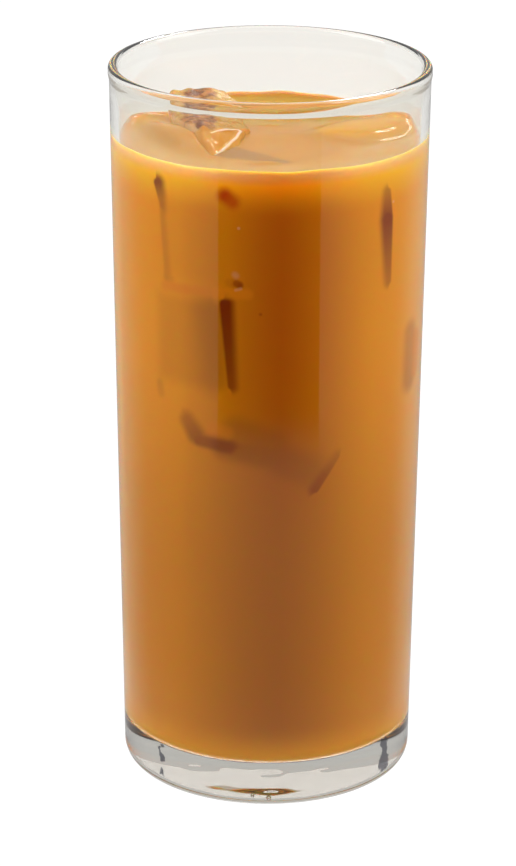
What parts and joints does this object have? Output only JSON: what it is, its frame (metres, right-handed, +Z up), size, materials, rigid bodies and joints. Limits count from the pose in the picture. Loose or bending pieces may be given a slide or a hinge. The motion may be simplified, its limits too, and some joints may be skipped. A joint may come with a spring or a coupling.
{
  "type": "iced coffee in a glass",
  "caption": "Tall straight clear glass with a thick foot, filled with milky iced coffee, with ice cubes at the surface.",
  "frame": {"origin": "middle of the glass's foot, on the surface that it stands on", "axes": "+Z up along the glass's axis, -Y towards the side that the picture shows"},
  "size_m": [0.072, 0.072, 0.1665],
  "materials": {
    "clear_glass": "clear polished",
    "milky_coffee": "wet glossy liquid",
    "melting_ice": "wet clear"
  },
  "bodies": {
    "root": {"glass": "clear_glass", "coffee": "milky_coffee", "ice_left": "melting_ice", "ice_right": "melting_ice"}
  },
  "joints": []
}
